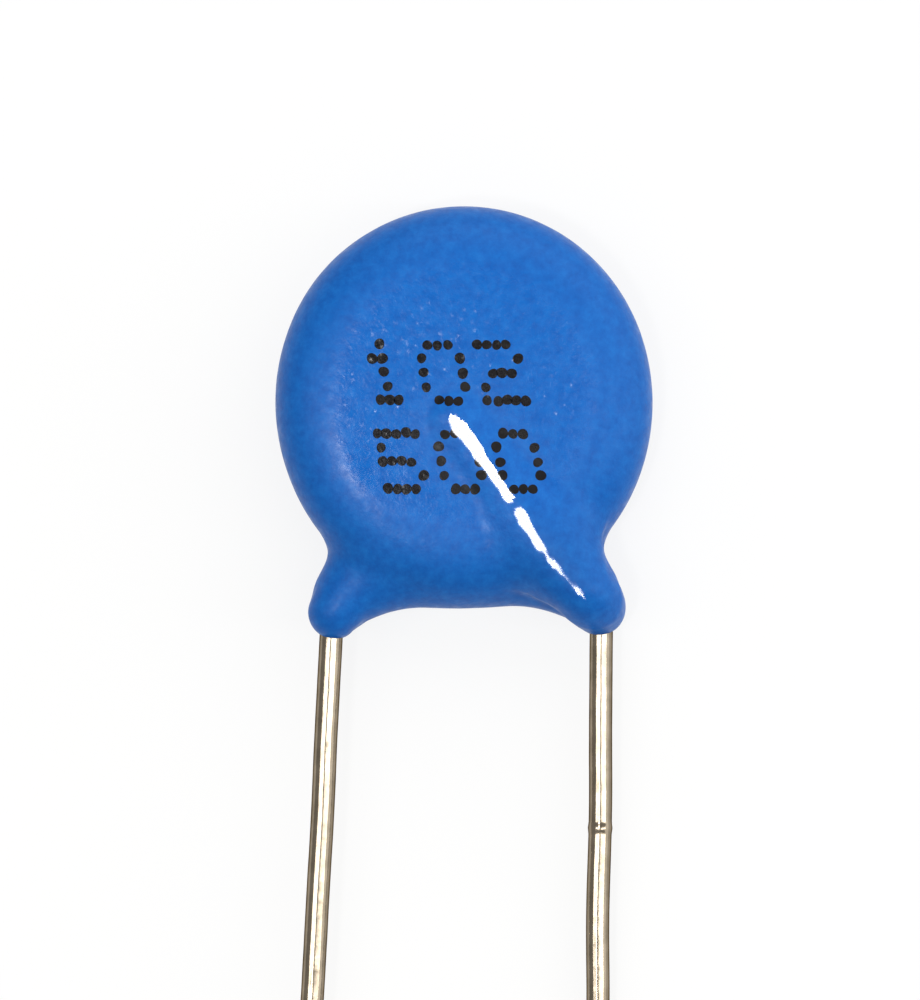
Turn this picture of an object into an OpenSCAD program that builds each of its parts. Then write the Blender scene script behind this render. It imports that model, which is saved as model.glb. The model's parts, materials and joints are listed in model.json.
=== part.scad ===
// Radial-lead ceramic disc capacitor, high-voltage kind, dipped in epoxy.
// A silvered ceramic disc has one lead soldered across each face. The dip coat
// follows what it covers: a flat face over the disc, a ridge over each lead, a
// web between the legs and a foot where each lead comes out.
//
// The part is built about the middle of its disc, with the leads toward -Y and
// the front face toward +Z, and is then laid down as it comes to rest.
// All sizes are in millimetres and all angles in degrees.

/* [Ceramic] */
// Diameter of the ceramic disc
ceramic_d = 8.4; // [7:0.1:9.5]
// Thickness of the ceramic disc
ceramic_h = 1.6; // [1:0.1:2.4]
// Chamfer on the disc's edges
ceramic_chamfer = 0.12; // [0.05:0.01:0.25]
// Bare ceramic left around each electrode
electrode_margin = 0.6; // [0.3:0.1:1.2]
// Thickness of the fired silver
electrode_h = 0.03; // [0.02:0.01:0.06]

/* [Leads] */
// Diameter of the tinned wire
lead_d = 0.65; // [0.5:0.05:0.8]
// Distance between the leads where they leave the feet
lead_pitch = 7.5; // [6:0.5:8.5]
// Length of lead below each foot
lead_free = 25; // [5:1:35]
// How far the front lead leans outward
front_splay = -1.3; // [-4:0.1:5]
// How far the back lead leans outward
back_splay = 3.8; // [-4:0.1:5]
// Radius of the wire's bends, on its centre line
lead_bend_r = 0.8; // [0.6:0.1:1.2]
// How far a lead's end passes the disc's upright centre line
lead_overrun = 0.4; // [0:0.1:1]
// How far a lead's end stays below the disc's centre
lead_end_drop = 0.5; // [0:0.1:1.5]
// How much a bend swells the wire, on its radius
bend_swell = 0.005; // [0.005:0.005:0.02]
// Solder between the wire and the electrode
lead_film = 0.04; // [0.02:0.01:0.1]
// Gap between the ceramic's edge and the start of a lead's slope
heel_gap = 1.3; // [0.1:0.1:1.6]
// How much further a lead stands off the face there than at its end
heel_lift = 0.15; // [0:0.05:0.3]

/* [Solder] */
// Length of wire between the two beads of solder
solder_l = 2.2; // [1.5:0.1:2.6]
// Half width of the solder between its beads
solder_r = 0.56; // [0.5:0.01:0.6]
// Radius of the bead at each end of the solder
solder_bead_r = 0.62; // [0.62:0.01:0.7]

/* [Coat] */
// Coat over each face of the ceramic
face_coat = 0.75; // [0.65:0.05:1.2]
// Coat beyond the ceramic's edge
rim_coat = 0.99; // [0.9:0.01:1.6]
// Width of the rounding from the flat face to the rim
coat_shoulder = 2; // [1.6:0.1:2.4]
// Coat over a lead
wire_coat = 0.25; // [0.15:0.05:0.4]
// How far the round outline sits above the ceramic's centre
coat_rise = 0.09; // [0:0.01:0.2]
// How far the coat sags toward the legs
sag_drop = 0.89; // [0.6:0.1:1.4]
// How much narrower the sag is than the round outline, on the radius
sag_inset = 0.3; // [0.2:0.02:0.8]

/* [Feet and web] */
// Distance from the round outline to the feet
foot_drop = 0.9; // [0.4:0.01:1.4]
// How far a neck leans in from its foot
neck_in = 2; // [1.4:0.1:2.6]
// How far a neck climbs from its foot
neck_up = 2.4; // [1.8:0.1:3]
// Half width of a neck at its top
neck_r = 1.5; // [1.2:0.05:1.8]
// Half thickness of a neck at its top
neck_half_h = 0.96; // [0.7:0.02:1.3]
// Distance from the round outline to the middle of the web's lower edge
web_drop = 0.67; // [0.3:0.01:1]
// Radius of the web's arched lower edge
web_arch_r = 27; // [10:0.5:40]
// Half thickness of the web's lower edge
web_r = 0.4; // [0.3:0.05:0.6]
// Distance from a lead to the end of the web's edge
web_inset = 0.3; // [0:0.05:0.6]

/* [Blends] */
// Blend between the round outline and the sag
sag_blend = 0.8; // [0.2:0.05:1]
// Blend between the web and the body
web_blend = 0.1; // [0.1:0.05:0.5]
// Blend between the necks and the body
neck_blend = 0.7; // [0.3:0.05:1]
// Blend along the ridges over the leads
ridge_blend = 0.25; // [0.1:0.05:0.5]

/* [Hidden] */
$fn = 64;

// Faces of the disc and the wire that lies on them
ceramic_r = ceramic_d / 2;
ceramic_top = ceramic_h / 2;
electrode_r = ceramic_r - electrode_margin;
electrode_top = ceramic_top + electrode_h;
lead_r = lead_d / 2;
bend_overlap = 0.05;
lead_z = electrode_top + lead_film + lead_r;

// Outline of the coat
coat_r = ceramic_r + rim_coat;
coat_half_h = ceramic_top + face_coat;
face_r = coat_r - coat_shoulder;
sag_face_r = face_r - sag_inset;
wire_coat_r = lead_r + wire_coat;
web_centre_y = -(coat_r + web_drop + web_arch_r);
web_half = lead_pitch / 2 - web_inset;

// Route of the front lead: tip, bend in the foot, heel beside the ceramic, end on the face
foot = [lead_pitch / 2, -(coat_r + foot_drop), 0];
lead_end = [-lead_overrun, -lead_end_drop, lead_z];
run_dir = unit([lead_end.x - foot.x, lead_end.y - foot.y, 0]);
heel = let (
    along = foot * run_dir,
    beside = foot * foot - pow(ceramic_r + heel_gap, 2),
    level = foot - (along + sqrt(along * along - beside)) * run_dir
) [level.x, level.y, lead_z + heel_lift];
neck_top = foot + [-neck_in, neck_up, 0];
leg_length = lead_free + wire_coat_r;

// The part lies on the heel of its back ridge, the far edge of its back face and the
// front lead's tip, and the back lead's tip stays just off the ground
first_lean = [-1, 1, 20];
settle_steps = 6;
rest_z = settled(unit(first_lean), settle_steps);
rest_y = unit([0, 1, 0] - rest_z.y * rest_z);
rest_x = cross(rest_y, rest_z);
middle = [0, (coat_r + coat_rise + foot.y - leg_length) / 2, -coat_half_h];

// Grid of the coat's skin: rays round the disc, closest together at the necks, and
// rings from the middle of one face over the rim to the middle of the other
rays = [
    for (a = [0:5:175]) a, for (a = [180:2:222]) a, for (a = [224:238]) a,
    for (a = [240:2:300]) a, for (a = [302:316]) a, for (a = [318:2:358]) a
];
face_rings = 7;
shoulder_rings = 12;
ring_crowding = 1.5;
search_steps = 16;
longest_reach = norm(foot) + 2 * neck_r;

function unit(v) = v / norm(v);

// Direction of a free leg that leans outward by splay
function leg_dir(splay) = [sin(splay), -cos(splay), 0];

// Half turn about the Y axis, which takes the front lead's side to the back lead's
function turned(p) = [-p.x, p.y, -p.z];

// Share of segment ab at its nearest point to p
function share(p, a, b) = min(max((p - a) * (b - a) / ((b - a) * (b - a)), 0), 1);

// Vector from that nearest point to p
function offset_from(p, a, b) = p - a - share(p, a, b) * (b - a);

// Union of two skins, each given by its signed distance, with a fillet about k wide
function blend(a, b, k) = min(a, b) - pow(max(k - abs(a - b), 0), 2) / (4 * k);

// Flat face with an elliptical shoulder, over the disc and the sag below it
function body_skin(p) =
    let (
        round = norm([p.x, p.y - coat_rise]) - face_r,
        sag = norm([p.x, p.y + sag_drop]) - sag_face_r,
        out = max(blend(round, sag, sag_blend), 0)
    )
    coat_half_h * (norm([out / coat_shoulder, p.z / coat_half_h]) - 1);

// Bead along the arched edge between the legs
function web_skin(p) =
    let (
        across = norm([p.x, p.y - web_centre_y]) - web_arch_r - web_r,
        past_end = max(abs(p.x) - web_half, 0)
    )
    norm([across, p.z, past_end]) - web_r;

// Flattened taper from a foot up into the body
function neck_skin(p) =
    let (
        flat = [abs(p.x), p.y, 0],
        v = offset_from(flat, foot, neck_top),
        flatness = neck_half_h / neck_r,
        width = wire_coat_r + (neck_r - wire_coat_r) * share(flat, foot, neck_top)
    )
    norm([v.x, v.y, p.z / flatness]) - width;

// Even coat round the front lead, from the foot to the wire's end
function ridge_skin(p) =
    min(norm(offset_from(p, foot, heel)), norm(offset_from(p, heel, lead_end))) - wire_coat_r;

// The whole coat: below zero inside and above zero outside
function coat_skin(p) =
    let (
        webbed = blend(body_skin(p), web_skin(p), web_blend),
        necked = blend(webbed, neck_skin(p), neck_blend)
    )
    blend(necked, min(ridge_skin(p), ridge_skin(turned(p))), ridge_blend);

// Lowest point of the back ridge's heel when the direction n points up
function heel_low(n) = turned(heel) - wire_coat_r * n;

// Lowest point of the back face's edge. The outline there is the round one or the
// sag, whichever lies further downhill, and the shoulder curves up beyond it.
function edge_low(n) =
    let (
        downhill = -unit([n.x, n.y]),
        round = downhill.y * coat_rise + face_r,
        sag = -downhill.y * sag_drop + sag_face_r,
        centre_y = round > sag ? coat_rise : -sag_drop,
        lean = atan(norm([n.x, n.y]) / n.z * coat_shoulder / coat_half_h),
        across = max(round, sag) - downhill.y * centre_y + coat_shoulder * sin(lean)
    )
    [across * downhill.x, centre_y + across * downhill.y, -coat_half_h * cos(lean)];

// Lowest point of the front lead's tip
function tip_low(n) =
    let (d = leg_dir(front_splay))
    foot + leg_length * d - lead_r * unit(n - (n * d) * d);

// Up direction of the resting part, refined from a first guess
function settled(n, steps) =
    steps == 0 ? n
    : settled(unit(cross(edge_low(n) - heel_low(n), heel_low(n) - tip_low(n))), steps - 1);

// Distance from the middle of the disc to the skin along a direction, by halving
function reach(dir, low, high, steps) =
    let (mid = (low + high) / 2)
    steps == 0 ? mid
    : coat_skin(mid * dir) < 0 ? reach(dir, mid, high, steps - 1)
    : reach(dir, low, mid, steps - 1);

function skin_point(dir) = dir * reach(dir, 0, longest_reach, search_steps);

// Half section of the plain disc, from the face's middle to the rim: [radius, height]
function shoulder_angle(i) = 90 * (1 - pow(1 - i / shoulder_rings, ring_crowding));
half_section = [
    for (i = [1:face_rings - 1]) [face_r * i / face_rings, coat_half_h],
    for (i = [0:shoulder_rings])
        let (a = shoulder_angle(i)) [face_r + coat_shoulder * sin(a), coat_half_h * cos(a)]
];

// Moves a child's Z axis onto direction z and its X axis onto x, with its origin at p
module at_frame(p, z, x) {
    y = cross(z, x);
    multmatrix([
        [x.x, y.x, z.x, p.x],
        [x.y, y.y, z.y, p.y],
        [x.z, y.z, z.z, p.z]
    ]) children();
}

// Any direction square to d
function square_to(d) = unit(cross(d, abs(d.z) < 0.9 ? [0, 0, 1] : [1, 0, 0]));

// Length that a bend at corner b takes from each side of it
function bend_cut(a, b, c) =
    lead_bend_r * tan(acos(unit(b - a) * unit(c - b)) / 2);

// Round wire through the points of path, with a rounded bend at each inner one.
// Each straight length reaches a little way into the slightly swollen bend.
module wire(path) {
    last = len(path) - 1;
    cuts = [
        for (i = [0:last])
            i == 0 || i == last ? 0 : bend_cut(path[i - 1], path[i], path[i + 1])
    ];
    starts = [for (c = cuts) max(c - bend_overlap, 0)];
    for (i = [0:last - 1]) {
        dir = unit(path[i + 1] - path[i]);
        at_frame(path[i] + starts[i] * dir, dir, square_to(dir))
            cylinder(r = lead_r, h = norm(path[i + 1] - path[i]) - starts[i] - starts[i + 1]);
    }
    for (i = [1:last - 1]) {
        dir_in = unit(path[i] - path[i - 1]);
        dir_out = unit(path[i + 1] - path[i]);
        axis = unit(cross(dir_in, dir_out));
        from_centre = cross(dir_in, axis);
        at_frame(path[i] - cuts[i] * dir_in - lead_bend_r * from_centre, axis, from_centre)
            rotate_extrude(angle = acos(dir_in * dir_out))
                translate([lead_bend_r, 0]) circle(r = lead_r + bend_swell);
    }
}

// Lead on the front face, whose free leg leans outward by splay
module lead(splay) {
    wire([foot + leg_length * leg_dir(splay), foot, heel, lead_end]);
}

// Solder mound on the front electrode, before the lead is bedded in it
module solder_mound() {
    start = [lead_end.x, lead_end.y, electrode_top];
    intersection() {
        union() {
            translate(start) sphere(r = solder_bead_r);
            translate(start - solder_l * run_dir) sphere(r = solder_bead_r);
            at_frame(start, -run_dir, [0, 0, 1]) cylinder(r = solder_r, h = solder_l);
        }
        translate([0, 0, electrode_top]) cylinder(r = electrode_r, h = coat_half_h);
    }
}

// Mound with the front lead, whose free leg leans outward by splay, bedded in it
module solder(splay) {
    difference() {
        solder_mound();
        lead(splay);
    }
}

// Fired silver film on the front face
module electrode() {
    translate([0, 0, ceramic_top]) cylinder(r = electrode_r, h = electrode_h);
}

// Takes a piece of the front side to the back side
module to_back() { rotate([0, 180, 0]) children(); }

// Lays the part down as it comes to rest, with the middle of its length over the origin
module at_rest() {
    translate([0, 0, -rest_z * (heel_low(rest_z) - middle)])
        multmatrix([
            [rest_x.x, rest_x.y, rest_x.z, 0],
            [rest_y.x, rest_y.y, rest_y.z, 0],
            [rest_z.x, rest_z.y, rest_z.z, 0]
        ])
            translate(-middle) children();
}

module ceramic_disc() {
    color([0.83, 0.79, 0.70])
        rotate_extrude() polygon([
            [0, -ceramic_top],
            [ceramic_r - ceramic_chamfer, -ceramic_top],
            [ceramic_r, -ceramic_top + ceramic_chamfer],
            [ceramic_r, ceramic_top - ceramic_chamfer],
            [ceramic_r - ceramic_chamfer, ceramic_top],
            [0, ceramic_top]
        ]);
}

module front_electrode() { color([0.88, 0.88, 0.86]) electrode(); }
module back_electrode() { color([0.88, 0.88, 0.86]) to_back() electrode(); }

module front_solder() { color([0.70, 0.71, 0.72]) solder(front_splay); }
module back_solder() { color([0.70, 0.71, 0.72]) to_back() solder(back_splay); }

module front_lead() { color([0.78, 0.77, 0.74]) lead(front_splay); }
module back_lead() { color([0.78, 0.77, 0.74]) to_back() lead(back_splay); }

// Everything that the coat encloses
module core() {
    ceramic_disc();
    front_electrode();
    back_electrode();
    solder_mound();
    to_back() solder_mound();
    front_lead();
    back_lead();
}

// Closed mesh of the coat's outer skin
module coat_solid() {
    back_section = [for (i = [len(half_section) - 2:-1:0]) half_section[i]];
    n = len(rays);
    rings = len(half_section) + len(back_section);
    ring_dirs = [
        for (s = half_section) each [for (a = rays) [s.x * cos(a), s.x * sin(a), s.y]],
        for (s = back_section) each [for (a = rays) [s.x * cos(a), s.x * sin(a), -s.y]]
    ];
    points = [
        skin_point([0, 0, 1]),
        for (d = ring_dirs) skin_point(unit(d)),
        skin_point([0, 0, -1])
    ];
    back_pole = len(points) - 1;
    faces = [
        for (j = [0:n - 1])
            let (k = (j + 1) % n) each [
                [0, 1 + k, 1 + j],
                for (i = [0:rings - 2])
                    let (here = 1 + i * n, next = here + n) each [
                        [here + j, here + k, next + k],
                        [here + j, next + k, next + j]
                    ],
                [back_pole, back_pole - n + j, back_pole - n + k]
            ]
    ];
    polyhedron(points, faces);
}

module coating() {
    color([0.14, 0.42, 0.76]) difference() {
        coat_solid();
        core();
    }
}

at_rest() coating();
at_rest() ceramic_disc();
at_rest() front_electrode();
at_rest() back_electrode();
at_rest() front_solder();
at_rest() back_solder();
at_rest() front_lead();
at_rest() back_lead();
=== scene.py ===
"""Dresses the ceramic disc capacitor of the frame for its render.

The dipped coat, the printed mark and the two leads get modelled meshes. The ceramic disc,
its electrodes and the solder keep the frame's own. Lengths are in millimetres and places
are in the disc's own frame, which has its origin in the middle of the disc, +Y away from
the leads and +Z out of the front face.
"""
import json
import math

import bpy
import numpy as np
from mathutils import Matrix, Vector, noise
from mathutils.bvhtree import BVHTree

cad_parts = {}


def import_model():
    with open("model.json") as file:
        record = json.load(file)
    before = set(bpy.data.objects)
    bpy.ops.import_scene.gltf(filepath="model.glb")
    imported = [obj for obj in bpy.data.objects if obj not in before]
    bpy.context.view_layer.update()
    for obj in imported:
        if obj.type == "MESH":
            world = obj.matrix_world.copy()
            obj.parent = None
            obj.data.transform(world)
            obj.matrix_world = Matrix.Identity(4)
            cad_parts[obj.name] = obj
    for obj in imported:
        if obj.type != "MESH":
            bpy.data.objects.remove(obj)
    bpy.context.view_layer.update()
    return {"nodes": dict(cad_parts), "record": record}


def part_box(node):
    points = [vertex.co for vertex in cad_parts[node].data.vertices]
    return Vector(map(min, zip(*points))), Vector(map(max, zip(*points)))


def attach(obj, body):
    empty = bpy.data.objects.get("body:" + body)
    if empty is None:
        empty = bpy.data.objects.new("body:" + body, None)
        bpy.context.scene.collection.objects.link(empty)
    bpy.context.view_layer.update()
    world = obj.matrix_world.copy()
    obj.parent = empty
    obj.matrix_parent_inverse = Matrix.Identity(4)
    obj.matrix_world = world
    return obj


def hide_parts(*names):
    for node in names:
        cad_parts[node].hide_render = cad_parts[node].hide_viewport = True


MM = 0.001

# Ceramic, electrodes and leads, as in the part
CERAMIC_R = 4.2
CERAMIC_TOP = 0.8
ELECTRODE_H = 0.03
LEAD_R = 0.325
LEAD_PITCH = 7.5
LEAD_FREE = 25
FRONT_SPLAY = math.radians(-1.3)
BACK_SPLAY = math.radians(3.8)
LEAD_BEND_R = 0.8
LEAD_OVERRUN = 0.4
LEAD_END_DROP = 0.5
LEAD_FILM = 0.04
HEEL_GAP = 1.3
HEEL_LIFT = 0.15

# Coat, as in the part
FACE_COAT = 0.75
RIM_COAT = 0.99
COAT_SHOULDER = 2
WIRE_COAT = 0.25
COAT_RISE = 0.09
SAG_DROP = 0.89
SAG_INSET = 0.3
FOOT_DROP = 0.9
NECK_IN = 2
NECK_UP = 2.4
NECK_R = 1.5
NECK_HALF_H = 0.96
WEB_ARCH_R = 27
WEB_INSET = 0.3
SAG_BLEND = 0.8

# Coat, softer than in the part: a fuller web, wider blends at the web and the necks, and
# a front face that is slightly domed and runs on into its shoulder without a ring. The
# necks start round at the feet, and the ridges spread and blend wider.
WEB_DROP = 0.58
WEB_R = 0.65
WEB_BLEND = 0.5
NECK_BLEND = 0.78
FACE_DOME = 0.08
FRONT_POWER = 2.6
BACK_POWER = 2

COAT_R = CERAMIC_R + RIM_COAT
COAT_HALF_H = CERAMIC_TOP + FACE_COAT
FACE_R = COAT_R - COAT_SHOULDER
SAG_FACE_R = FACE_R - SAG_INSET
WIRE_COAT_R = LEAD_R + WIRE_COAT
LEAD_Z = CERAMIC_TOP + ELECTRODE_H + LEAD_FILM + LEAD_R
LEG_LENGTH = LEAD_FREE + WIRE_COAT_R
WEB_CENTRE_Y = -(COAT_R + WEB_DROP + WEB_ARCH_R)
WEB_HALF = LEAD_PITCH / 2 - WEB_INSET


def unit(v):
    return np.asarray(v, float) / np.linalg.norm(v)


def turned(p):
    """Half turn about the Y axis, which takes the front lead's side to the back lead's."""
    return np.asarray(p) * (-1, 1, -1)


def leg_dir(splay):
    """Direction of a free leg that leans outward by splay."""
    return np.array((math.sin(splay), -math.cos(splay), 0))


FOOT = np.array((LEAD_PITCH / 2, -(COAT_R + FOOT_DROP), 0))
LEAD_END = np.array((-LEAD_OVERRUN, -LEAD_END_DROP, LEAD_Z))
NECK_TOP = FOOT + (-NECK_IN, NECK_UP, 0)


def heel_point():
    """Corner beside the ceramic's edge, where the front lead comes down to its face."""
    run = unit((LEAD_END - FOOT) * (1, 1, 0))
    along = FOOT @ run
    beside = FOOT @ FOOT - (CERAMIC_R + HEEL_GAP) ** 2
    level = FOOT - (along + math.sqrt(along**2 - beside)) * run
    return np.array((level[0], level[1], LEAD_Z + HEEL_LIFT))


HEEL = heel_point()


# ---------------------------------------------------------------- the frame

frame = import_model()
nodes = frame["nodes"]


def disc_frame():
    """Matrix from the disc's own frame, in mm, to the row frame, in metres.

    The record's two pins lie in the disc's middle plane, at known leans to its Y axis.
    """
    pins = {m["name"]: np.array(m["axis"]) for m in frame["record"]["mounts"]}
    front, back = unit(pins["front_lead_pin"]), unit(pins["back_lead_pin"])
    z = unit(np.cross(back, front))
    side = np.cross(z, front)
    x = math.sin(FRONT_SPLAY) * front + math.cos(FRONT_SPLAY) * side
    y = math.sin(FRONT_SPLAY) * side - math.cos(FRONT_SPLAY) * front
    low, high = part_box("ceramic_disc")
    turn = np.column_stack((x, y, z))
    return turn * MM, np.array((low + high) / 2)


TURN_M, ORIGIN_M = disc_frame()


def to_row(points):
    """Points of the disc's frame, in mm, as points of the row frame, in metres."""
    return np.asarray(points, float) @ TURN_M.T + ORIGIN_M


def add_object(name, data):
    """New object of the scene, which shows data."""
    made = bpy.data.objects.new(name, data)
    bpy.context.scene.collection.objects.link(made)
    return made


def mesh_piece(name, points, faces, material):
    """New piece from points in the disc's frame. It rides on the part's one body."""
    mesh = bpy.data.meshes.new(name)
    mesh.from_pydata(to_row(points).tolist(), [], faces)
    mesh.validate()
    mesh.materials.append(material)
    mesh.shade_smooth()
    piece = add_object(name, mesh)
    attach(piece, "root")
    return piece


def perlin(points, size, shift):
    """Smooth noise between about -1 and 1 at each point, with lumps about size wide.

    Each use has a shift of its own, so that no two unevennesses run alike.
    """
    away = Vector((shift,) * 3)
    return np.array([noise.noise(Vector(q) / size + away) for q in points])


# ---------------------------------------------------------------- the coat's form


def offset_from(p, a, b):
    """Vectors from the nearest point of segment ab, and that point's share of it."""
    ab = b - a
    share = np.clip((p - a) @ ab / (ab @ ab), 0, 1)
    return p - a - share[:, None] * ab, share


def blend(a, b, k):
    """Union of two skins, each given by its signed distance, with a fillet about k wide."""
    return np.minimum(a, b) - np.maximum(k - np.abs(a - b), 0) ** 2 / (4 * k)


def body_skin(p):
    """Slightly domed face with a rounded shoulder, over the disc and the sag below it."""
    round_edge = np.hypot(p[:, 0], p[:, 1] - COAT_RISE) - FACE_R
    sag_edge = np.hypot(p[:, 0], p[:, 1] + SAG_DROP) - SAG_FACE_R
    out = np.maximum(blend(round_edge, sag_edge, SAG_BLEND), 0)
    from_middle = np.minimum(np.hypot(p[:, 0], p[:, 1]) / COAT_R, 1)
    front = p[:, 2] > 0
    half_h = COAT_HALF_H + np.where(front, FACE_DOME, 0) * (1 - from_middle**2)
    power = np.where(front, FRONT_POWER, BACK_POWER)
    share = (out / COAT_SHOULDER) ** power + (np.abs(p[:, 2]) / half_h) ** power
    return COAT_HALF_H * (share ** (1 / power) - 1)


def web_skin(p):
    """Bead along the arched edge between the legs."""
    across = np.hypot(p[:, 0], p[:, 1] - WEB_CENTRE_Y) - WEB_ARCH_R - WEB_R
    past_end = np.maximum(np.abs(p[:, 0]) - WEB_HALF, 0)
    return np.sqrt(across**2 + p[:, 2] ** 2 + past_end**2) - WEB_R


def neck_skin(p):
    """Taper from a round foot up into the body, where it is flatter."""
    flat = np.column_stack((np.abs(p[:, 0]), p[:, 1], np.zeros(len(p))))
    v, share = offset_from(flat, FOOT, NECK_TOP)
    flatness = 1 + (NECK_HALF_H / NECK_R - 1) * share
    width = WIRE_COAT_R + (NECK_R - WIRE_COAT_R) * share
    return np.sqrt(v[:, 0] ** 2 + v[:, 1] ** 2 + (p[:, 2] / flatness) ** 2) - width


def rounded(corners, radius, steps):
    """Path through corners, with an arc of a given radius at each inner one."""
    path = [corners[0]]
    for a, b, c in zip(corners, corners[1:], corners[2:]):
        into, out = unit(b - a), unit(c - b)
        bend = math.acos(into @ out)
        from_centre = np.cross(into, unit(np.cross(into, out)))
        centre = b - radius * (math.tan(bend / 2) * into + from_centre)
        for t in np.linspace(0, bend, steps + 1):
            path.append(centre + radius * (math.cos(t) * from_centre + math.sin(t) * into))
    return path + [corners[-1]]


# Ridge over a lead, along the run from the lead's end: place, how many times as wide as
# high it is there, and how wide it blends into the coat. The blend is narrower near the
# middle plane, so that the outline keeps its size.
RIDGE_ALONG = (
    (-0.6, 1.3, 0.16),
    (0.2, 1.6, 0.16),
    (2.4, 1.5, 0.2),
    (4.4, 1.4, 0.8),
    (5.6, 1.3, 1.15),
    (6.8, 1.2, 1.1),
)
RIDGE_PLACES, RIDGE_SPREAD, RIDGE_BLEND = zip(*RIDGE_ALONG)
LEAST_BLEND = 0.12
FULL_BLEND_Z = 1.0

# The front ridge comes down to the face further out than its wire, in a soft bend
RUN = unit((FOOT - LEAD_END) * (1, 1, 0))
ACROSS = np.array((-RUN[1], RUN[0], 0))
TOE_OUT = 1.15
TOE_DROP = 0.1
RIDGE_BEND_R = 0.6
RIDGE_BEND_STEPS = 6
FRONT_TOE = HEEL + TOE_OUT * RUN - (0, 0, TOE_DROP)
FRONT_PATH = rounded([LEAD_END, FRONT_TOE, FOOT], RIDGE_BEND_R, RIDGE_BEND_STEPS)
BACK_PATH = [LEAD_END, HEEL, FOOT]


def ridge_skin(p, path):
    """Coat over a lead that runs along path on the front face, and its blend's width."""
    from_end = p - LEAD_END
    s = from_end @ RUN
    spread = np.interp(s, RIDGE_PLACES, RIDGE_SPREAD)
    height = np.minimum(np.abs(p[:, 2]) / FULL_BLEND_Z, 1)
    width = np.interp(s, RIDGE_PLACES, RIDGE_BLEND) * height
    drawn_in = p - ((from_end @ ACROSS) * (1 - 1 / spread))[:, None] * ACROSS
    nearest = [
        np.linalg.norm(offset_from(drawn_in, a, b)[0], axis=1)
        for a, b in zip(path, path[1:])
    ]
    return np.min(nearest, axis=0) - WIRE_COAT_R, np.maximum(width, LEAST_BLEND)


def coat_skin(p):
    """The whole coat: below zero inside and above zero outside."""
    webbed = blend(body_skin(p), web_skin(p), WEB_BLEND)
    skin = blend(webbed, neck_skin(p), NECK_BLEND)
    for at, path in ((p, FRONT_PATH), (turned(p), BACK_PATH)):
        skin = blend(skin, *ridge_skin(at, path))
    return skin


# Grid of the coat's mesh, as rays round the disc and rings from face to face
RAYS = 540
OUTLINE_RAYS = 3600
FACE_RINGS = 52
BACK_FACE_RINGS = 20
SHOULDER_RINGS = 44
RING_CROWDING = 1.5
SEARCH_STEPS = 22
GRADIENT_STEP = 0.002

# Unevenness of the dip: slow waves in its thickness and the peel of its skin. Near the
# front ridge, within about its reach, the coat is drawn even.
WAVE_SIZE = 2.6
WAVE_HEIGHT = 0.014
WAVE_SHIFT = 1.3
PEEL_SIZE = 0.42
PEEL_HEIGHT = 0.0024
PEEL_SHIFT = 5.1
RIDGE_REACH = 0.35
RIDGE_EVENNESS = 0.8


def face_rings(count):
    """Rings of the flat face as (radius, height), from its middle outward."""
    return [(FACE_R * i / count, COAT_HALF_H) for i in range(1, count)]


def section_dirs():
    """Directions from the disc's middle through the rings of the plain disc's section."""
    shoulder = []
    for i in range(SHOULDER_RINGS + 1):
        a = math.pi / 2 * (1 - (1 - i / SHOULDER_RINGS) ** RING_CROWDING)
        shoulder.append((FACE_R + COAT_SHOULDER * math.sin(a), COAT_HALF_H * math.cos(a)))
    back = shoulder[-2::-1] + face_rings(BACK_FACE_RINGS)[::-1]
    return face_rings(FACE_RINGS) + shoulder + [(r, -z) for r, z in back]


def reach(dirs):
    """Points of the skin along unit directions from the disc's middle, by halving."""
    low = np.zeros(len(dirs))
    high = np.full(len(dirs), np.linalg.norm(FOOT) + 2 * NECK_R)
    for _ in range(SEARCH_STEPS):
        middle = (low + high) / 2
        inside = coat_skin(dirs * middle[:, None]) < 0
        low, high = np.where(inside, middle, low), np.where(inside, high, middle)
    return dirs * ((low + high) / 2)[:, None]


def ray_angles():
    """Angles of rays that meet the outline at even steps along it."""
    fine = np.linspace(0, 2 * math.pi, OUTLINE_RAYS + 1)
    outline = reach(np.column_stack((np.cos(fine), np.sin(fine), 0 * fine)))
    steps = np.linalg.norm(np.diff(outline, axis=0), axis=1)
    length = np.concatenate(([0], np.cumsum(steps)))
    return np.interp(np.linspace(0, length[-1], RAYS, endpoint=False), length, fine)


def skin_gradient(p):
    """Unit normals of the skin at points on it."""
    steps = GRADIENT_STEP * np.eye(3)
    slope = np.column_stack([coat_skin(p + s) - coat_skin(p - s) for s in steps])
    return slope / np.linalg.norm(slope, axis=1)[:, None]


# Streak on the front ridge, where the coat is drawn into a narrow smooth facet: its half
# width at places along the run from the lead's end, in two stretches with a gap between
STREAK_WIDTHS = (
    (0.0, 0), (0.12, 0.15), (0.5, 0.25), (1.0, 0.2), (1.6, 0.165), (2.94, 0.13), (3.02, 0),
    (3.17, 0), (3.28, 0.16), (3.6, 0.185), (4.1, 0.125), (4.6, 0.13), (4.74, 0.05),
    (4.9, 0.12), (5.4, 0.06), (5.8, 0.03), (6.0, 0.11), (6.25, 0.12), (6.5, 0),
)

# How far the streak's middle lies aside of the run, at places along it
STREAK_ASIDE = (
    (0.3, 0), (1.0, 0), (2.0, -0.06), (3.2, -0.12),
    (4.2, -0.22), (4.9, -0.26), (5.4, -0.23), (6.3, -0.12),
)

# Beads along the streak's edges, which are shallower where it is narrow
STREAK_BEAD_SIZE = 0.28
STREAK_BEAD_DEPTH = 0.05
STREAK_BEAD_SHIFT = 3.7
STREAK_FULL_BEAD = 0.1
STREAK_EDGE = 0.05

# The lamp that the streak mirrors, as seen from the disc, and the facet's normal
GLINT_AZIMUTH = 213
GLINT_POLAR = 14.5


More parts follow.
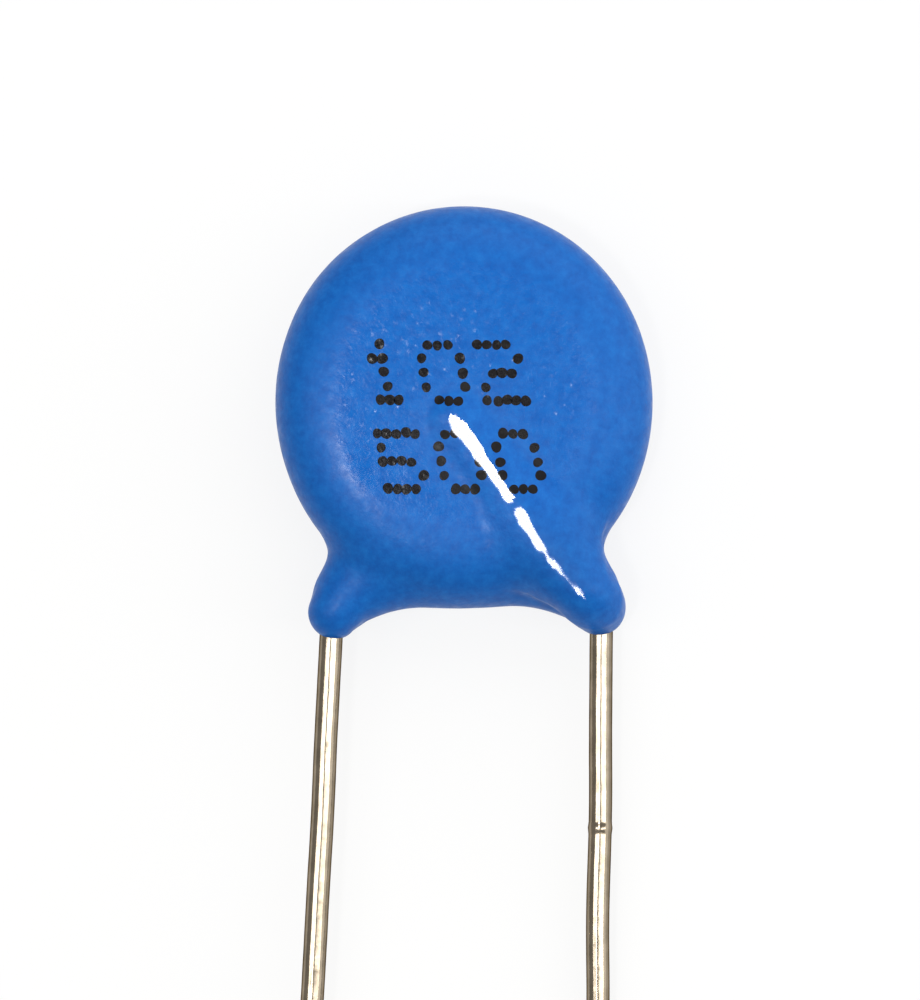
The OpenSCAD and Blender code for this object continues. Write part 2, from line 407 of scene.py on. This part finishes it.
def direction(azimuth, polar):
    """Direction by azimuth from the disc's +X toward its +Y and polar angle from its +Z."""
    a, p = math.radians(azimuth), math.radians(polar)
    return np.array((math.sin(p) * math.cos(a), math.sin(p) * math.sin(a), math.cos(p)))


STREAK_NORMAL = direction(GLINT_AZIMUTH, GLINT_POLAR / 2)


def streak(points):
    """Share from 0 to 1 by which each point lies on the streak."""
    from_end = points - LEAD_END
    s = from_end @ RUN
    half = np.interp(s, *zip(*STREAK_WIDTHS), left=0, right=0)
    beads = perlin(points, STREAK_BEAD_SIZE, STREAK_BEAD_SHIFT)
    half += STREAK_BEAD_DEPTH * beads * np.minimum(half / STREAK_FULL_BEAD, 1)
    aside = from_end @ ACROSS - np.interp(s, *zip(*STREAK_ASIDE))
    inside = (half - np.abs(aside)) / STREAK_EDGE
    inside += 0.5 * (half > 0)  # the soft edge lies half within the streak's width
    return np.clip(inside, 0, 1) * (points[:, 2] > 0)


# Sparkles round the mark, as tiny dimples that mirror the same lamp, in loose groups
SPARKLE_PLACES = (
    (0.45, 2.1), (0.15, 0.95), (-1.2, 1.65), (-2.25, 1.55), (2.75, 0.25), (-2.7, -0.2),
)
SPARKLE_COUNT = 14
SPARKLE_SPREAD = 0.45
SPARKLE_R = (0.03, 0.06)
SPARKLE_STRENGTH = (0.7, 1)
SPARKLE_SEED = 3


def sparkles(points):
    """Share from 0 to 1 by which each point lies on a sparkle."""
    rng = np.random.default_rng(SPARKLE_SEED)
    share = np.zeros(len(points))
    for place in np.repeat(SPARKLE_PLACES, SPARKLE_COUNT, axis=0):
        middle = place + rng.normal(0, SPARKLE_SPREAD, 2)
        away = np.hypot(*(points[:, :2] - middle).T) / rng.uniform(*SPARKLE_R)
        share = np.maximum(share, rng.uniform(*SPARKLE_STRENGTH) * np.exp(-(away**2)))
    return share * (points[:, 2] > 0)


def near_ridge(points):
    """Share from 0 to 1 by which each point lies near the front ridge."""
    away, _ = ridge_skin(points, FRONT_PATH)
    return np.exp(-((np.maximum(away, 0) / RIDGE_REACH) ** 2))


def coat_points():
    """Points of the skin on every ray and ring, with the unevenness of the dip."""
    angles = ray_angles()
    dirs = [(0, 0, 1)]
    for r, z in section_dirs():
        dirs += [(r * math.cos(a), r * math.sin(a), z) for a in angles]
    dirs = np.array(dirs + [(0, 0, -1)], float)
    dirs /= np.linalg.norm(dirs, axis=1)[:, None]
    points = reach(dirs)
    rise = WAVE_HEIGHT * perlin(points, WAVE_SIZE, WAVE_SHIFT)
    rise += PEEL_HEIGHT * perlin(points, PEEL_SIZE, PEEL_SHIFT)
    rise *= 1 - RIDGE_EVENNESS * near_ridge(points)
    return points + skin_gradient(points) * rise[:, None]


def grid_faces(rings, n):
    """Faces of a closed skin of rings of n points between two poles."""
    faces = []
    last = 1 + rings * n
    for j in range(n):
        k = (j + 1) % n
        faces.append((0, 1 + j, 1 + k))
        faces.append((last, last - n + k, last - n + j))
        for i in range(rings - 1):
            here = 1 + i * n
            faces.append((here + j, here + n + j, here + n + k, here + k))
    return faces


# ---------------------------------------------------------------- materials

# Values that a skin's mesh holds at each point, and that its material reads
ROUGHNESS = "roughness"
RELIEF = "relief"
# Share of painted shade that darkens the coat toward its rim
RIM_SHADE = "painted_rim_shade"

# Mottling of a skin's roughness, and the sizes and heights of its bumps in mm
SKIN_MOTTLE_SIZE = 0.25
SKIN_MOTTLE = (0.8, 1.25)
SKIN_PEEL_SIZE = 0.2
SKIN_PEEL_HEIGHT = 0.007
SKIN_DIMPLE_SIZE = 0.085
SKIN_DIMPLE_HEIGHT = 0.0042

# Most of a noise's values lie in this span
NOISE_SPAN = (0.3, 0.7)


class Finish:
    """A node material, with short calls for the nodes that the finishes here share."""

    def __init__(self, name, **sockets):
        self.material = bpy.data.materials.new(name)
        self.material.use_nodes = True
        self.tree = self.material.node_tree
        self.shader = self.tree.nodes["Principled BSDF"]
        self.place = self.tree.nodes.new("ShaderNodeTexCoord").outputs["Object"]
        for socket, value in sockets.items():
            self.shader.inputs[socket.replace("_", " ")].default_value = value

    def node(self, kind, **values):
        made = self.tree.nodes.new("ShaderNode" + kind)
        for key, value in values.items():
            if key in made.inputs:
                made.inputs[key].default_value = value
            else:
                setattr(made, key, value)
        return made

    def link(self, output, target):
        self.tree.links.new(output, target)

    def drive(self, socket, output):
        """Lets output set one of the shader's own sockets."""
        self.link(output, self.shader.inputs[socket])

    def noise(self, size, detail=2.0, roughness=0.5, place=None):
        """Noise output with lumps about size mm wide."""
        made = self.node("TexNoise", Scale=1 / (size * MM), Detail=detail, Roughness=roughness)
        self.link(place or self.place, made.inputs["Vector"])
        return made.outputs["Fac"]

    def ramp(self, source, stops):
        """Colour of source, by stops of (position, colour)."""
        made = self.node("ValToRGB")
        while len(made.color_ramp.elements) < len(stops):
            made.color_ramp.elements.new(0.5)
        for element, (position, colour) in zip(made.color_ramp.elements, stops):
            element.position = position
            element.color = (*colour, 1)
        self.link(source, made.inputs["Fac"])
        return made.outputs["Color"]

    def span(self, source, low, high):
        """Source, which is a noise, spread from low to high."""
        made = self.node("MapRange")
        ends = zip(("From Min", "From Max", "To Min", "To Max"), (*NOISE_SPAN, low, high))
        for socket, value in ends:
            made.inputs[socket].default_value = value
        self.link(source, made.inputs["Value"])
        return made.outputs["Result"]

    def bump(self, source, height, normal=None, strength=None):
        """Normal bent by source as a relief of height mm."""
        made = self.node("Bump", Distance=height * MM, Strength=1.0)
        self.link(source, made.inputs["Height"])
        if strength:
            self.link(strength, made.inputs["Strength"])
        if normal:
            self.link(normal, made.inputs["Normal"])
        return made.outputs["Normal"]

    def skin(self):
        """Mottled roughness and dimpled relief, as the mesh's own values have them."""
        dull = self.node("Attribute", attribute_name=ROUGHNESS).outputs["Fac"]
        mottled = self.node("Math", operation="MULTIPLY")
        self.link(dull, mottled.inputs[0])
        mottle = self.span(self.noise(SKIN_MOTTLE_SIZE, detail=3), *SKIN_MOTTLE)
        self.link(mottle, mottled.inputs[1])
        self.drive("Roughness", mottled.outputs["Value"])
        relief = self.node("Attribute", attribute_name=RELIEF).outputs["Fac"]
        peel = self.bump(self.noise(SKIN_PEEL_SIZE), SKIN_PEEL_HEIGHT, strength=relief)
        dimples = self.noise(SKIN_DIMPLE_SIZE)
        self.drive("Normal", self.bump(dimples, SKIN_DIMPLE_HEIGHT, peel, relief))


def linear(r, g, b):
    """Linear colour of an sRGB colour written from 0 to 255."""

    def one(c):
        c /= 255
        return c / 12.92 if c <= 0.04045 else ((c + 0.055) / 1.055) ** 2.4

    return one(r), one(g), one(b)


# Colours as (position on a noise, colour). The coat is filled epoxy, and the ink is thin,
# so both mirror less than most plastics do.
COAT_IOR = 1.3
BLUES = ((0.3, linear(4, 90, 179)), (0.5, linear(8, 101, 191)), (0.72, linear(16, 113, 202)))
INKS = ((0.35, linear(5, 4, 7)), (0.7, linear(14, 9, 13)))
TINS = ((0.35, (0.265, 0.222, 0.165)), (0.65, (0.34, 0.285, 0.215)))
CERAMICS = ((0.3, (0.50, 0.42, 0.30)), (0.7, (0.62, 0.54, 0.41)))
SILVERS = ((0.35, (0.70, 0.69, 0.66)), (0.65, (0.83, 0.82, 0.79)))
SOLDERS = ((0.35, (0.55, 0.56, 0.57)), (0.65, (0.72, 0.72, 0.72)))
TIN_EDGE_TINT = (0.1, 0.07, 0.04, 1)
TIN_ROUGHNESS = (0.12, 0.17)

# Marks that drawing left along the wire, and slow ripples in its tin, as (size, height).
# The scale draws the marks out along Y.
DRAWN_MARKS = (0.07, 0.0008)
DRAWN_SCALE = (1, 0.12, 1)
RIPPLES = (0.6, 0.006)

# What the coat's colour is multiplied by toward its rim, as painted shade
RIM_SHADE_TINT = (0.88, 0.87, 0.86)


def epoxy_finish():
    """Blue dip coat, mottled and dimpled except where it is drawn smooth over a lead, with
    painted shade that darkens it toward its rim.
    """
    f = Finish("blue_epoxy", IOR=COAT_IOR)
    # Painted shade: the colour is darkened by the mesh's share toward the rim
    rim_shade_mix = f.node("Mix", data_type="RGBA", blend_type="MULTIPLY")
    f.link(f.node("Attribute", attribute_name=RIM_SHADE).outputs["Fac"], rim_shade_mix.inputs["Factor"])
    f.link(f.ramp(f.noise(0.3, detail=5, roughness=0.7), BLUES), rim_shade_mix.inputs["A"])
    rim_shade_mix.inputs["B"].default_value = (*RIM_SHADE_TINT, 1)
    f.drive("Base Color", rim_shade_mix.outputs["Result"])
    f.skin()
    return f.material


def ink_finish():
    """Black ink, dimpled like the coat under it."""
    f = Finish("mark_ink", IOR=COAT_IOR)
    f.drive("Base Color", f.ramp(f.noise(0.16, detail=3), INKS))
    f.skin()
    return f.material


def tin_finish():
    """Bright tin, with fine marks of drawing along the wire and slow ripples in it."""
    f = Finish("tinned_copper", Metallic=1.0, Specular_Tint=TIN_EDGE_TINT)
    f.drive("Base Color", f.ramp(f.noise(0.5, detail=4), TINS))
    f.drive("Roughness", f.span(f.noise(0.35, detail=3), *TIN_ROUGHNESS))
    stretch = f.node("Mapping", vector_type="POINT")
    stretch.inputs["Scale"].default_value = DRAWN_SCALE
    f.link(f.place, stretch.inputs["Vector"])
    size, height = DRAWN_MARKS
    drawn = f.bump(f.noise(size, place=stretch.outputs["Vector"]), height)
    size, height = RIPPLES
    f.drive("Normal", f.bump(f.noise(size), height, drawn))
    return f.material


def grained_finish(name, colours, mottle, dullness, roughness, grain, height, **sockets):
    """Mottled finish of an inner piece, with roughness as (least, most).

    Mottle, dullness and grain are the size and detail of the noise in its colour, its
    roughness and its relief. Height is that relief's, in mm.
    """
    f = Finish(name, **sockets)
    f.drive("Base Color", f.ramp(f.noise(*mottle), colours))
    f.drive("Roughness", f.span(f.noise(*dullness), *roughness))
    f.drive("Normal", f.bump(f.noise(*grain), height))
    return f.material


def ceramic_finish():
    return grained_finish(
        "titanate_ceramic",
        CERAMICS,
        mottle=(0.3, 5),
        dullness=(0.2, 2),
        roughness=(0.5, 0.65),
        grain=(0.05, 3),
        height=0.002,
    )


def silver_finish():
    return grained_finish(
        "fired_silver",
        SILVERS,
        mottle=(0.25, 5),
        dullness=(0.12, 3),
        roughness=(0.38, 0.55),
        grain=(0.04, 3),
        height=0.001,
        Metallic=1.0,
    )


def solder_finish():
    return grained_finish(
        "solder",
        SOLDERS,
        mottle=(0.4, 4),
        dullness=(0.2, 3),
        roughness=(0.18, 0.4),
        grain=(0.18, 3),
        height=0.003,
        Metallic=1.0,
    )


# ---------------------------------------------------------------- the coat

# Roughness of the coat: on its face, beyond the face and near the ridge, at a glossier
# place on the left of the face, and on the streak
FACE_ROUGHNESS = 0.19
RIM_ROUGHNESS = 0.4
GLOSS_ROUGHNESS = 0.12
STREAK_ROUGHNESS = 0.07
RIM_START = 3.3
RIM_WIDTH = 0.6
GLOSS_PLACE = (-2.9, -2.07)
GLOSS_HALF_SIZE = (0.45, 1.1)
GLOSS_EVENNESS = 0.6

# Painted shade: toward its rim the coat's colour is darkened, from this start over this width
RIM_SHADE_START = 3.5
RIM_SHADE_WIDTH = 1.7


def set_values(piece, name, values):
    """Gives each point of a piece's mesh a value that its material can read."""
    piece.data.attributes.new(name, "FLOAT", "POINT").data.foreach_set("value", values)


def ramp_up(values, start, width):
    """Share that climbs from 0 at start to 1 a width further on."""
    return np.clip((values - start) / width, 0, 1)


def glossy_place(points):
    """Share from 0 to 1 by which each point lies on the glossier place."""
    outward = unit(GLOSS_PLACE)
    from_place = points[:, :2] - GLOSS_PLACE
    out = from_place @ outward / GLOSS_HALF_SIZE[0]
    aside = from_place @ (-outward[1], outward[0]) / GLOSS_HALF_SIZE[1]
    return np.exp(-(out**2 + aside**2)) * (points[:, 2] > 0)


def turn_normals(piece, share):
    """Turns a piece's normals toward the streak's by a share from 0 to 1 at each point."""
    normals = np.array([v.vector for v in piece.data.vertex_normals])
    facet = TURN_M @ STREAK_NORMAL / MM
    normals += (facet - normals) * share[:, None]
    normals /= np.linalg.norm(normals, axis=1)[:, None]
    piece.data.normals_split_custom_set_from_vertices(normals.tolist())


def draw_skin(piece, points):
    """Sets how rough and how dimpled a skin is, and turns its normals on the streak."""
    glossy, smooth = glossy_place(points), streak(points)
    from_middle = np.hypot(points[:, 0], points[:, 1])
    dull = np.maximum(ramp_up(from_middle, RIM_START, RIM_WIDTH), near_ridge(points))
    roughness = FACE_ROUGHNESS + (RIM_ROUGHNESS - FACE_ROUGHNESS) * dull
    roughness += (GLOSS_ROUGHNESS - roughness) * glossy
    roughness += (STREAK_ROUGHNESS - roughness) * smooth
    set_values(piece, ROUGHNESS, roughness)
    set_values(piece, RELIEF, (1 - GLOSS_EVENNESS * glossy) * (1 - smooth))
    turn_normals(piece, np.maximum(smooth, sparkles(points)))


def coat_mesh():
    """The dipped coat, with painted shade toward its rim."""
    points = coat_points()
    faces = grid_faces(len(section_dirs()), RAYS)
    piece = mesh_piece("dipped_coat", points, faces, epoxy_finish())
    draw_skin(piece, points)
    from_middle = np.hypot(points[:, 0], points[:, 1])
    # Painted shade that darkens the coat toward its rim
    set_values(piece, RIM_SHADE, ramp_up(from_middle, RIM_SHADE_START, RIM_SHADE_WIDTH))
    return piece


coat = coat_mesh()
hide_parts("coating")


# ---------------------------------------------------------------- the leads

LEAD_SIDES = 40
LEAD_RING_GAP = 0.09
BEND_RINGS = 12


def centre_line(corners):
    """Points along the wire's centre line, evenly spaced, and how far along each is."""
    path = np.array(rounded(corners, LEAD_BEND_R, BEND_RINGS))
    s = np.concatenate(([0], np.cumsum(np.linalg.norm(np.diff(path, axis=0), axis=1))))
    even = np.linspace(0, s[-1], int(s[-1] / LEAD_RING_GAP) + 1)
    return np.column_stack([np.interp(even, s, path[:, i]) for i in range(3)]), even


# Bow of each lead across the view, as (height, length of a wave, start of the wave)
FRONT_BOW = ((0.022, 11.0, 0.3), (0.010, 4.7, 1.9))
BACK_BOW = ((0.016, 13.0, 2.2), (0.007, 5.3, 0.4))
BOW_START = 1.5
BOW_EASE = 3

# Nick in the front lead, by its distance below the foot's corner
NICK_DROP = 6.0
NICK_DEPTH = 0.019
NICK_HALF_LENGTH = 0.06
BURR_HEIGHT = 0.04
BURR_HALF_LENGTH = 0.08
BURR_SHARPNESS = 6

# Slow unevenness of the tin on the wire
TIN_WAVE = 0.004
TIN_WAVE_LENGTH = 0.8
TIN_WAVE_SHIFT = 2.2


def bowed_line(splay, bow):
    """Centre line of a lead whose free leg is slightly bowed, and how far along it is."""
    tip = FOOT + LEG_LENGTH * leg_dir(splay)
    path, s = centre_line([tip, FOOT, HEEL, LEAD_END])
    below = np.maximum(LEG_LENGTH - BOW_START - s, 0)
    ease = np.clip(below / BOW_EASE, 0, 1) ** 2
    for height, length, start in bow:
        path[:, 0] += ease * height * np.sin(2 * math.pi * below / length + start)
    return path, s


def rim_directions(path, turn):
    """Unit vectors from each point of a path to the rim of a round wire along it."""
    ahead = np.gradient(path, axis=0)
    ahead /= np.linalg.norm(ahead, axis=1)[:, None]
    side = np.cross(ahead, (0, 0, 1))
    side /= np.linalg.norm(side, axis=1)[:, None]
    up = np.cross(side, ahead)
    sideways = np.cos(turn)[None, :, None] * side[:, None, :]
    return sideways + np.sin(turn)[None, :, None] * up[:, None, :]


def nick_radii(s, turn):
    """What the nick takes off the wire's radius, less the burr that it raises beside it."""
    at = LEG_LENGTH - s - NICK_DROP
    dent = NICK_DEPTH * np.exp(-((at / NICK_HALF_LENGTH) ** 2))
    burr = BURR_HEIGHT * np.exp(-((at / BURR_HALF_LENGTH) ** 2))
    return dent[:, None] - burr[:, None] * np.abs(np.cos(turn))[None, :] ** BURR_SHARPNESS


def lead_mesh(name, material, splay, bow, nick, front):
    """A lead from its cut tip to its end on the electrode, as a tube."""
    path, s = bowed_line(splay, bow)
    turn = np.arange(LEAD_SIDES) * 2 * math.pi / LEAD_SIDES
    rim = rim_directions(path, turn)
    around = (path[:, None, :] + rim).reshape(-1, 3)
    wave = perlin(around, TIN_WAVE_LENGTH, TIN_WAVE_SHIFT)
    radius = LEAD_R + TIN_WAVE * wave.reshape(len(s), LEAD_SIDES)
    if nick:
        radius -= nick_radii(s, turn)
    points = (path[:, None, :] + radius[:, :, None] * rim).reshape(-1, 3)
    points = np.vstack((path[:1], points, path[-1:]))
    if not front:
        points = turned(points)
    return mesh_piece(name, points, grid_faces(len(s), LEAD_SIDES), material)


tin = tin_finish()
front_wire = lead_mesh("front_wire", tin, FRONT_SPLAY, FRONT_BOW, nick=True, front=True)
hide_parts("front_lead")
back_wire = lead_mesh("back_wire", tin, BACK_SPLAY, BACK_BOW, nick=False, front=False)
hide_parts("back_lead")


# ---------------------------------------------------------------- the printed mark

# Plain numerals, five dots wide and five high
DIGITS = {
    "0": (".###.", "#...#", "#...#", "#...#", ".###."),
    "1": ("..#..", ".##..", "..#..", "..#..", ".###."),
    "2": ("####.", "....#", ".###.", "#....", "#####"),
    "5": ("#####", "#....", "####.", "....#", "####."),
}
MARK_LINES = ("102", "500")
MARK_START = (-2.85, 1.45)
DOT_PITCH = (0.265, 0.385)
DOT_R = 0.14
DIGIT_ADVANCE = 1.62
LINE_ADVANCE = 2.46
MARK_LEAN = math.radians(10)
MARK_SLOPE = math.radians(-1)
DOT_JITTER = 0.014
DOT_RINGS = 3
DOT_SIDES = 20
DOT_SIZES = (0.95, 1.1)
DOT_SEED = 11
INK_LIFT = 0.0035

# Ragged rim of a dot, as shares of its radius that make it oval and three-cornered, and
# how far each of the two may be turned, in radians
DOT_OVAL = 0.05
DOT_CORNERS = 0.03
DOT_TURN = 6
RAGGED_SEED = 5


def dot_grid():
    """How far across and down from the mark's start each dot stands in upright type."""
    for row, text in enumerate(MARK_LINES):
        for column, digit in enumerate(text):
            for j, pattern in enumerate(DIGITS[digit]):
                for i, dot in enumerate(pattern):
                    if dot == "#":
                        across = column * DIGIT_ADVANCE + i * DOT_PITCH[0]
                        yield across, row * LINE_ADVANCE + j * DOT_PITCH[1]


def mark_dots():
    """Middle and radius of each printed dot, seen from the front."""
    rng = np.random.default_rng(DOT_SEED)
    dots = []
    for across, down in dot_grid():
        across += down * math.tan(MARK_LEAN)
        down += across * math.tan(-MARK_SLOPE)
        shake = rng.normal(0, DOT_JITTER, 2)
        middle = np.array(MARK_START) + (across, -down) + shake
        dots.append((middle, DOT_R * rng.uniform(*DOT_SIZES)))
    return dots


def dot_points(middle, radius, rng):
    """Flat points of one dot: its middle and the rings round it, with a ragged rim."""
    turn = np.arange(DOT_SIDES) * 2 * math.pi / DOT_SIDES
    oval = DOT_OVAL * np.sin(2 * turn + rng.uniform(0, DOT_TURN))
    corners = DOT_CORNERS * np.sin(3 * turn + rng.uniform(0, DOT_TURN))
    points = [(*middle, 0)]
    for ring in range(1, DOT_RINGS + 1):
        r = radius * ring / DOT_RINGS * (1 + oval + corners)
        x, y = middle[0] + r * np.cos(turn), middle[1] + r * np.sin(turn)
        points += zip(x, y, 0 * turn)
    return points


def dot_faces(first):
    """Faces of a dot whose points start at number first."""
    faces = []
    for j in range(DOT_SIDES):
        k = (j + 1) % DOT_SIDES
        faces.append((first, first + 1 + j, first + 1 + k))
        for ring in range(DOT_RINGS - 1):
            here = first + 1 + ring * DOT_SIDES
            there = here + DOT_SIDES
            faces.append((here + j, there + j, there + k, here + k))
    return faces


def onto_front(points, coat_data):
    """Points moved along the disc's axis onto its front face, just clear of the coat."""
    corners = [v.co for v in coat_data.vertices]
    tree = BVHTree.FromPolygons(corners, [p.vertices for p in coat_data.polygons])
    back, down = np.linalg.inv(TURN_M), Vector(-unit(TURN_M[:, 2]))
    landed = []
    for start in to_row(np.array(points) + (0, 0, 2 * COAT_HALF_H)):
        hit, normal, _, _ = tree.ray_cast(Vector(start), down)
        landed.append(back @ (np.array(hit + normal * INK_LIFT * MM) - ORIGIN_M))
    return np.array(landed)


def mark_mesh(coat_data):
    """Thin patches of ink that follow the coat under them."""
    rng = np.random.default_rng(RAGGED_SEED)
    points, faces = [], []
    for middle, radius in mark_dots():
        faces += dot_faces(len(points))
        points += dot_points(middle, radius, rng)
    points = onto_front(points, coat_data)
    piece = mesh_piece("mark", points, faces, ink_finish())
    draw_skin(piece, points)


mark_mesh(coat.data)


# ---------------------------------------------------------------- the frame's own pieces


def finish_node(name, material):
    """Gives one of the frame's own pieces a material."""
    nodes[name].data.materials.clear()
    nodes[name].data.materials.append(material)


silver, solder = silver_finish(), solder_finish()
finish_node("ceramic_disc", ceramic_finish())
for face in ("front", "back"):
    finish_node(face + "_electrode", silver)
    finish_node(face + "_solder", solder)


# ---------------------------------------------------------------- floor and light

# How much of the floor that the camera and reflections see is plain white, where the rest
# of it keeps the shadow
FLOOR_GLOW = 0.82
FLOOR_HALF_M = 2.0
FLOORS = ((0.3, (0.94, 0.94, 0.93)), (0.7, (0.96, 0.96, 0.95)))
AMBIENT = (0.415, 0.412, 0.405)
SEEN_RAYS = ("Is Camera Ray", "Is Glossy Ray", "Is Transmission Ray")


def floor_finish():
    """Pale floor that looks white to the rays that see it, and is lit to all others."""
    f = Finish("pale_floor", Roughness=0.9, Specular_IOR_Level=0.0)
    f.drive("Base Color", f.ramp(f.noise(6), FLOORS))
    rays = f.node("LightPath").outputs
    seen = rays[SEEN_RAYS[0]]
    for ray in SEEN_RAYS[1:]:
        either = f.node("Math", operation="MAXIMUM")
        f.link(seen, either.inputs[0])
        f.link(rays[ray], either.inputs[1])
        seen = either.outputs["Value"]
    share = f.node("Math", operation="MULTIPLY")
    f.link(seen, share.inputs[0])
    share.inputs[1].default_value = FLOOR_GLOW
    mix = f.node("MixShader")
    f.link(share.outputs["Value"], mix.inputs["Fac"])
    f.link(f.shader.outputs["BSDF"], mix.inputs[1])
    f.link(f.node("Emission", Strength=1.0).outputs["Emission"], mix.inputs[2])
    f.link(mix.outputs["Shader"], f.tree.nodes["Material Output"].inputs["Surface"])
    return f.material


def floor():
    """Flat floor that the part lies on."""
    mesh = bpy.data.meshes.new("floor")
    h = FLOOR_HALF_M
    mesh.from_pydata([(-h, -h, 0), (h, -h, 0), (h, h, 0), (-h, h, 0)], [], [(0, 1, 2, 3)])
    mesh.materials.append(floor_finish())
    piece = add_object("floor", mesh)


def lamp(name, azimuth, polar, distance, size, radiance, shape="RECTANGLE"):
    """Soft lamp that faces the disc, with its first size in line with the disc's axis.

    Azimuth and polar are angles as direction() takes them, and distance and size are in
    metres. Radiance is how bright the lamp looks where something mirrors it.
    """
    way, down = direction(azimuth, polar), direction(azimuth, polar + 90)
    axes = [TURN_M @ v / MM for v in (down, np.cross(way, down), way)]
    data = bpy.data.lights.new(name, "AREA")
    data.shape = shape
    data.size, data.size_y = size
    area = size[0] * size[1] * (math.pi / 4 if shape == "ELLIPSE" else 1)
    data.energy = radiance * math.pi * area
    place = Matrix.Translation(ORIGIN_M + distance * axes[2])
    lit = add_object(name, data)
    lit.matrix_world = place @ Matrix(np.column_stack(axes).tolist()).to_4x4()


def world(colour):
    """Even light from all round."""
    made = bpy.data.worlds.new("world")
    made.use_nodes = True
    made.node_tree.nodes["Background"].inputs["Color"].default_value = (*colour, 1)
    bpy.context.scene.world = made


floor()
world(AMBIENT)
lamp("panel", azimuth=70, polar=54, distance=0.8, size=(0.7, 1.1), radiance=1.3)
lamp("key", azimuth=5, polar=72, distance=0.6, size=(0.5, 0.56), radiance=1.25, shape="ELLIPSE")
lamp("glint", GLINT_AZIMUTH, GLINT_POLAR, distance=0.6, size=(0.06, 0.035), radiance=80)
lamp("left_strip", azimuth=182, polar=25.5, distance=0.6, size=(0.44, 0.055), radiance=7)
lamp("right_strip", azimuth=-6, polar=30, distance=0.6, size=(0.55, 0.06), radiance=7)


# ---------------------------------------------------------------- camera

# The picture's size in pixels, and where it has the disc's middle and at what scale
PICTURE_SIZE = (920, 1000)
DISC_PIXEL = (463.8, 395.9)
PIXELS_PER_MM = 35.9
CAMERA_ROLL = math.radians(0.8)
CAMERA_DISTANCE = 320
SENSOR = 36
CLIP_M = (0.01, 10)


def camera():
    """Camera square to the disc's face, which shows the disc where the picture has it."""
    data = bpy.data.cameras.new("camera")
    eye = add_object("camera", data)
    right = np.array((math.cos(CAMERA_ROLL), -math.sin(CAMERA_ROLL), 0))
    up = np.array((math.sin(CAMERA_ROLL), math.cos(CAMERA_ROLL), 0))
    across = (PICTURE_SIZE[0] / 2 - DISC_PIXEL[0]) / PIXELS_PER_MM
    down = (PICTURE_SIZE[1] / 2 - DISC_PIXEL[1]) / PIXELS_PER_MM
    place = to_row((across * right - down * up + (0, 0, CAMERA_DISTANCE),))[0]
    turn = np.column_stack([TURN_M @ v / MM for v in (right, up, (0, 0, 1))])
    eye.matrix_world = Matrix.Translation(place) @ Matrix(turn.tolist()).to_4x4()
    long_side = max(PICTURE_SIZE) / PIXELS_PER_MM
    data.sensor_width = SENSOR
    data.lens = SENSOR * CAMERA_DISTANCE / long_side
    data.clip_start, data.clip_end = CLIP_M
    bpy.context.scene.camera = eye


camera()
bpy.context.scene.view_settings.view_transform = "Standard"
